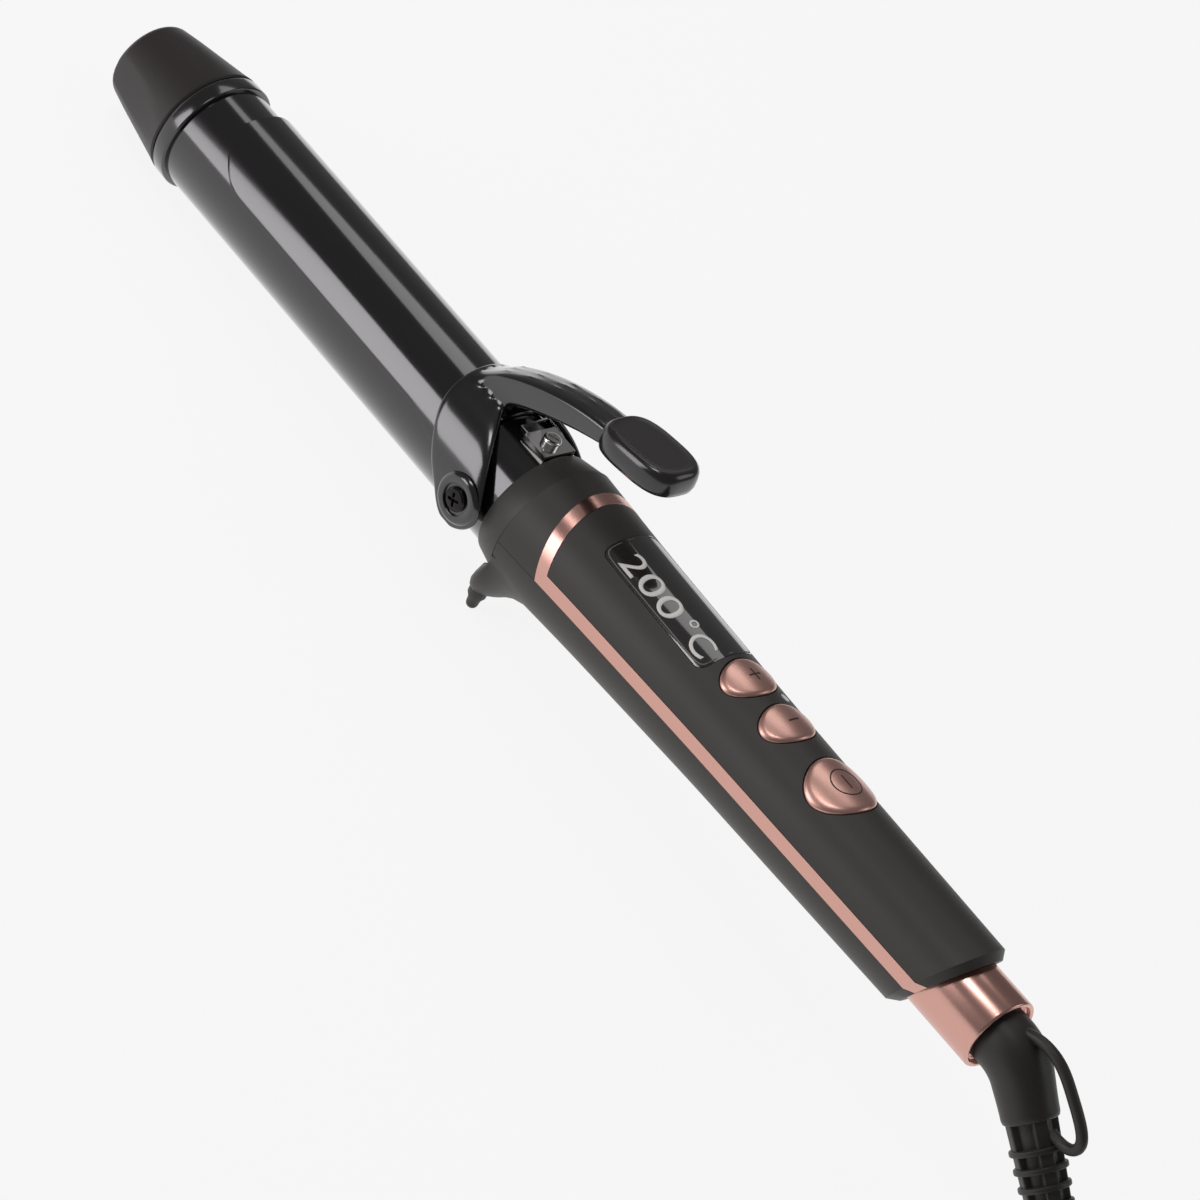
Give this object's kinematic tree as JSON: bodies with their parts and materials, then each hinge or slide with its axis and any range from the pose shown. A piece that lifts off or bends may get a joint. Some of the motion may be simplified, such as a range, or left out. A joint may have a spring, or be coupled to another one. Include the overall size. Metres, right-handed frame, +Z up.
{
  "type": "curling iron",
  "caption": "Slim curling iron: coated barrel with a sprung clip and thumb lever, cool tip, display handle with three buttons, swivel cord with hanging loop and two-pin plug.",
  "frame": {"origin": "on the table, under the middle of the iron's length and width, with the iron resting on its tip ring and its two nubs; the cord, hank and plug aren't counted", "axes": "+Z is up, -X points to the cool tip, +X to the cord, and Y is across"},
  "size_m": [0.677, 0.0542, 0.075],
  "materials": {
    "accent_trim": "rose metallised trim",
    "barrel_holder": "heat-proof moulded carrier",
    "barrel_tube": "glossy black ceramic coating on aluminium",
    "board_carrier": "white carrier",
    "bracket_screw": "bright plated screw",
    "brush_block": "insulating block",
    "capacitor": "film capacitor",
    "ceramic_heater": "fired ceramic plate",
    "clip_lever": "glossy black moulding",
    "clip_plate": "glossy black coated steel",
    "clip_rivet_left": "steel rivet",
    "clip_rivet_right": "steel rivet",
    "contact_brush_live": "sprung brass strip",
    "contact_brush_neutral": "sprung brass strip",
    "control_board": "green board",
    "cord_boot": "matte black rubber",
    "cord_coil": "matte black cord jacket",
    "display_window": "smoked glossy window",
    "hanging_loop": "matte black rubber",
    "heat_spreader_lower": "extruded aluminium",
    "heat_spreader_upper": "extruded aluminium",
    "heater_lead_left": "silicone lead",
    "heater_lead_right": "silicone lead",
    "hinge_screw_left": "blackened steel screw",
    "hinge_screw_right": "blackened steel screw",
    "hinge_washer_left": "black slip washer",
    "hinge_washer_right": "black slip washer",
    "indicator_lens": "dark lamp lens",
    "lcd_module": "display glass and backlight",
    "lower_shell": "soft-touch charcoal shell",
    "mains_cord": "matte black cord jacket",
    "minus_button": "fine-grained rose metallic",
    "neck_collar": "satin charcoal plastic",
    "plug_body": "matte black moulded plug",
    "plug_cord": "matte black cord jacket",
    "plug_pin_left": "nickel-plated brass pin",
    "plug_pin_right": "nickel-plated brass pin",
    "plus_button": "fine-grained rose metallic",
    "power_board": "green board",
    "power_button": "fine-grained rose metallic",
    "return_spring": "spring steel leaf",
    "shell_screw_front": "steel screw",
    "shell_screw_rear": "steel screw",
    "slip_ring_live": "brass contact ring",
    "slip_ring_neutral": "brass contact ring",
    "spring_bracket": "bright plated steel",
    "switch_minus": "switch body",
    "switch_plus": "switch body",
    "switch_power": "switch body",
    "swivel_collar": "rose metallised collar",
    "swivel_core": "slippery plastic spool",
    "temperature_sensor": "glass-sleeved sensor",
    "thermal_fuse": "metal-cased fuse",
    "thumb_rest": "satin black thumb pad",
    "tip_cap": "satin black heat-proof plastic",
    "tip_insulator": "white ceramic disc",
    "tip_ring": "glossy black ring",
    "triac": "switching element",
    "upper_shell": "soft-touch charcoal shell"
  },
  "bodies": {
    "iron": {"accent_trim": "accent_trim", "barrel_holder": "barrel_holder", "barrel_tube": "barrel_tube", "board_carrier": "board_carrier", "bracket_screw": "bracket_screw", "brush_block": "brush_block", "capacitor": "capacitor", "ceramic_heater": "ceramic_heater", "contact_brush_live": "contact_brush_live", "contact_brush_neutral": "contact_brush_neutral", "control_board": "control_board", "cord_coil": "cord_coil", "display_window": "display_window", "heat_spreader_lower": "heat_spreader_lower", "heat_spreader_upper": "heat_spreader_upper", "heater_lead_left": "heater_lead_left", "heater_lead_right": "heater_lead_right", "hinge_screw_left": "hinge_screw_left", "hinge_screw_right": "hinge_screw_right", "hinge_washer_left": "hinge_washer_left", "hinge_washer_right": "hinge_washer_right", "indicator_lens": "indicator_lens", "lcd_module": "lcd_module", "lower_shell": "lower_shell", "mains_cord": "mains_cord", "neck_collar": "neck_collar", "plug_body": "plug_body", "plug_cord": "plug_cord", "plug_pin_left": "plug_pin_left", "plug_pin_right": "plug_pin_right", "power_board": "power_board", "return_spring": "return_spring", "shell_screw_front": "shell_screw_front", "shell_screw_rear": "shell_screw_rear", "spring_bracket": "spring_bracket", "switch_minus": "switch_minus", "switch_plus": "switch_plus", "switch_power": "switch_power", "swivel_collar": "swivel_collar", "temperature_sensor": "temperature_sensor", "thermal_fuse": "thermal_fuse", "tip_cap": "tip_cap", "tip_insulator": "tip_insulator", "tip_ring": "tip_ring", "triac": "triac", "upper_shell": "upper_shell"},
    "clip": {"clip_plate": "clip_plate", "clip_lever": "clip_lever", "thumb_rest": "thumb_rest", "clip_rivet_left": "clip_rivet_left", "clip_rivet_right": "clip_rivet_right"},
    "plus_button": {"plus_button": "plus_button"},
    "minus_button": {"minus_button": "minus_button"},
    "power_button": {"power_button": "power_button"},
    "swivel": {"swivel_core": "swivel_core", "slip_ring_live": "slip_ring_live", "slip_ring_neutral": "slip_ring_neutral", "cord_boot": "cord_boot", "hanging_loop": "hanging_loop"}
  },
  "joints": [
    {"name": "clip_hinge", "type": "hinge", "parent": "iron", "child": "clip", "pos_m": [-0.03623, 0, 0.02726], "axis": [0, 1, 0], "range_deg": [0, 18], "stiffness_Nm_per_rad": 0.5, "springref_deg": -20.05, "deforming": ["return_spring"]},
    {"name": "plus_button_press", "type": "slide", "parent": "iron", "child": "plus_button", "axis": [0.0931, 0, -0.9957], "range_m": [0, 0.0008], "stiffness_N_per_m": 1000, "springref_m": -0.001},
    {"name": "minus_button_press", "type": "slide", "parent": "iron", "child": "minus_button", "axis": [0.0931, 0, -0.9957], "range_m": [0, 0.0008], "stiffness_N_per_m": 1000, "springref_m": -0.001},
    {"name": "power_button_press", "type": "slide", "parent": "iron", "child": "power_button", "axis": [0.0931, 0, -0.9957], "range_m": [0, 0.0008], "stiffness_N_per_m": 1000, "springref_m": -0.001},
    {"name": "cord_swivel", "type": "hinge", "parent": "iron", "child": "swivel", "pos_m": [0.15785, 0, 0.04632], "axis": [0.9957, 0, 0.0931], "continuous": true}
  ]
}
